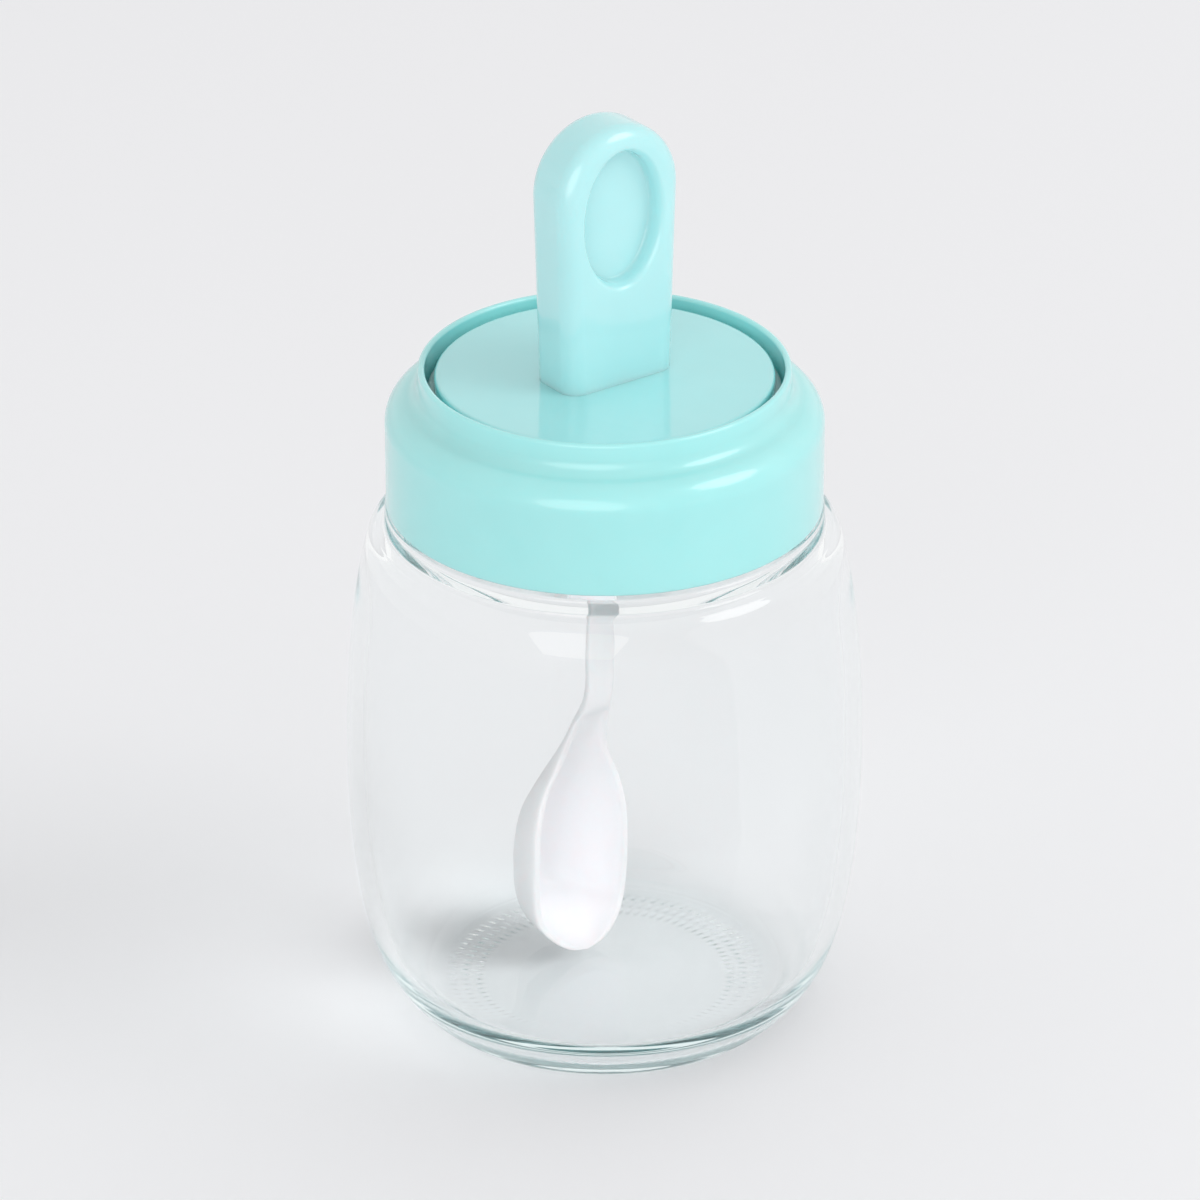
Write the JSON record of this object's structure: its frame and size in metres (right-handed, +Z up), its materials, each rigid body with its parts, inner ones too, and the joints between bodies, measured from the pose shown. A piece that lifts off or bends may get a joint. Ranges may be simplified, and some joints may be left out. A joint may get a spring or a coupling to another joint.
{
  "type": "jam pot",
  "caption": "Round glass jam pot with a screw-on plastic collar and a lift-out lid that has an upright grip above and a hanging spoon below.",
  "frame": {"origin": "on the jar's axis, in the plane that the jar stands on", "axes": "+Z up along the jar's axis; +X along the width of the grip; +Y towards the back of the spoon's bowl, whose hollow faces -Y"},
  "size_m": [0.079, 0.079, 0.1462],
  "materials": {
    "jar_glass": "clear, fire-polished",
    "clear_silicone": "translucent, smooth",
    "aqua_plastic": "glossy moulded polypropylene",
    "white_plastic": "smooth moulded polypropylene"
  },
  "bodies": {
    "jar": {"glass_jar": "jar_glass"},
    "gasket": {"rim_gasket": "clear_silicone"},
    "collar": {"screw_collar": "aqua_plastic"},
    "seal": {"lid_seal": "clear_silicone"},
    "lid": {"lid_plug": "aqua_plastic", "lid_disc": "aqua_plastic", "grip": "aqua_plastic", "spoon": "white_plastic"}
  },
  "joints": [
    {"name": "collar_lift", "type": "slide", "parent": "jar", "child": "gasket", "axis": [0, 0, 1], "range_m": [0, 0.00526]},
    {"name": "collar_turn", "type": "hinge", "parent": "gasket", "child": "collar", "pos_m": [0, 0, 0.0845], "axis": [0, 0, 1], "range_deg": [0, 450]},
    {"name": "lid_lift", "type": "slide", "parent": "collar", "child": "seal", "axis": [0, 0, 1], "range_m": [0, 0.105]},
    {"name": "lid_turn", "type": "hinge", "parent": "seal", "child": "lid", "pos_m": [0, 0, 0.1033], "axis": [0, 0, 1], "continuous": true}
  ],
  "couplings": [
    {"joint": "collar_lift", "follows": "collar_turn", "m_per_rad": 0.00066845}
  ]
}
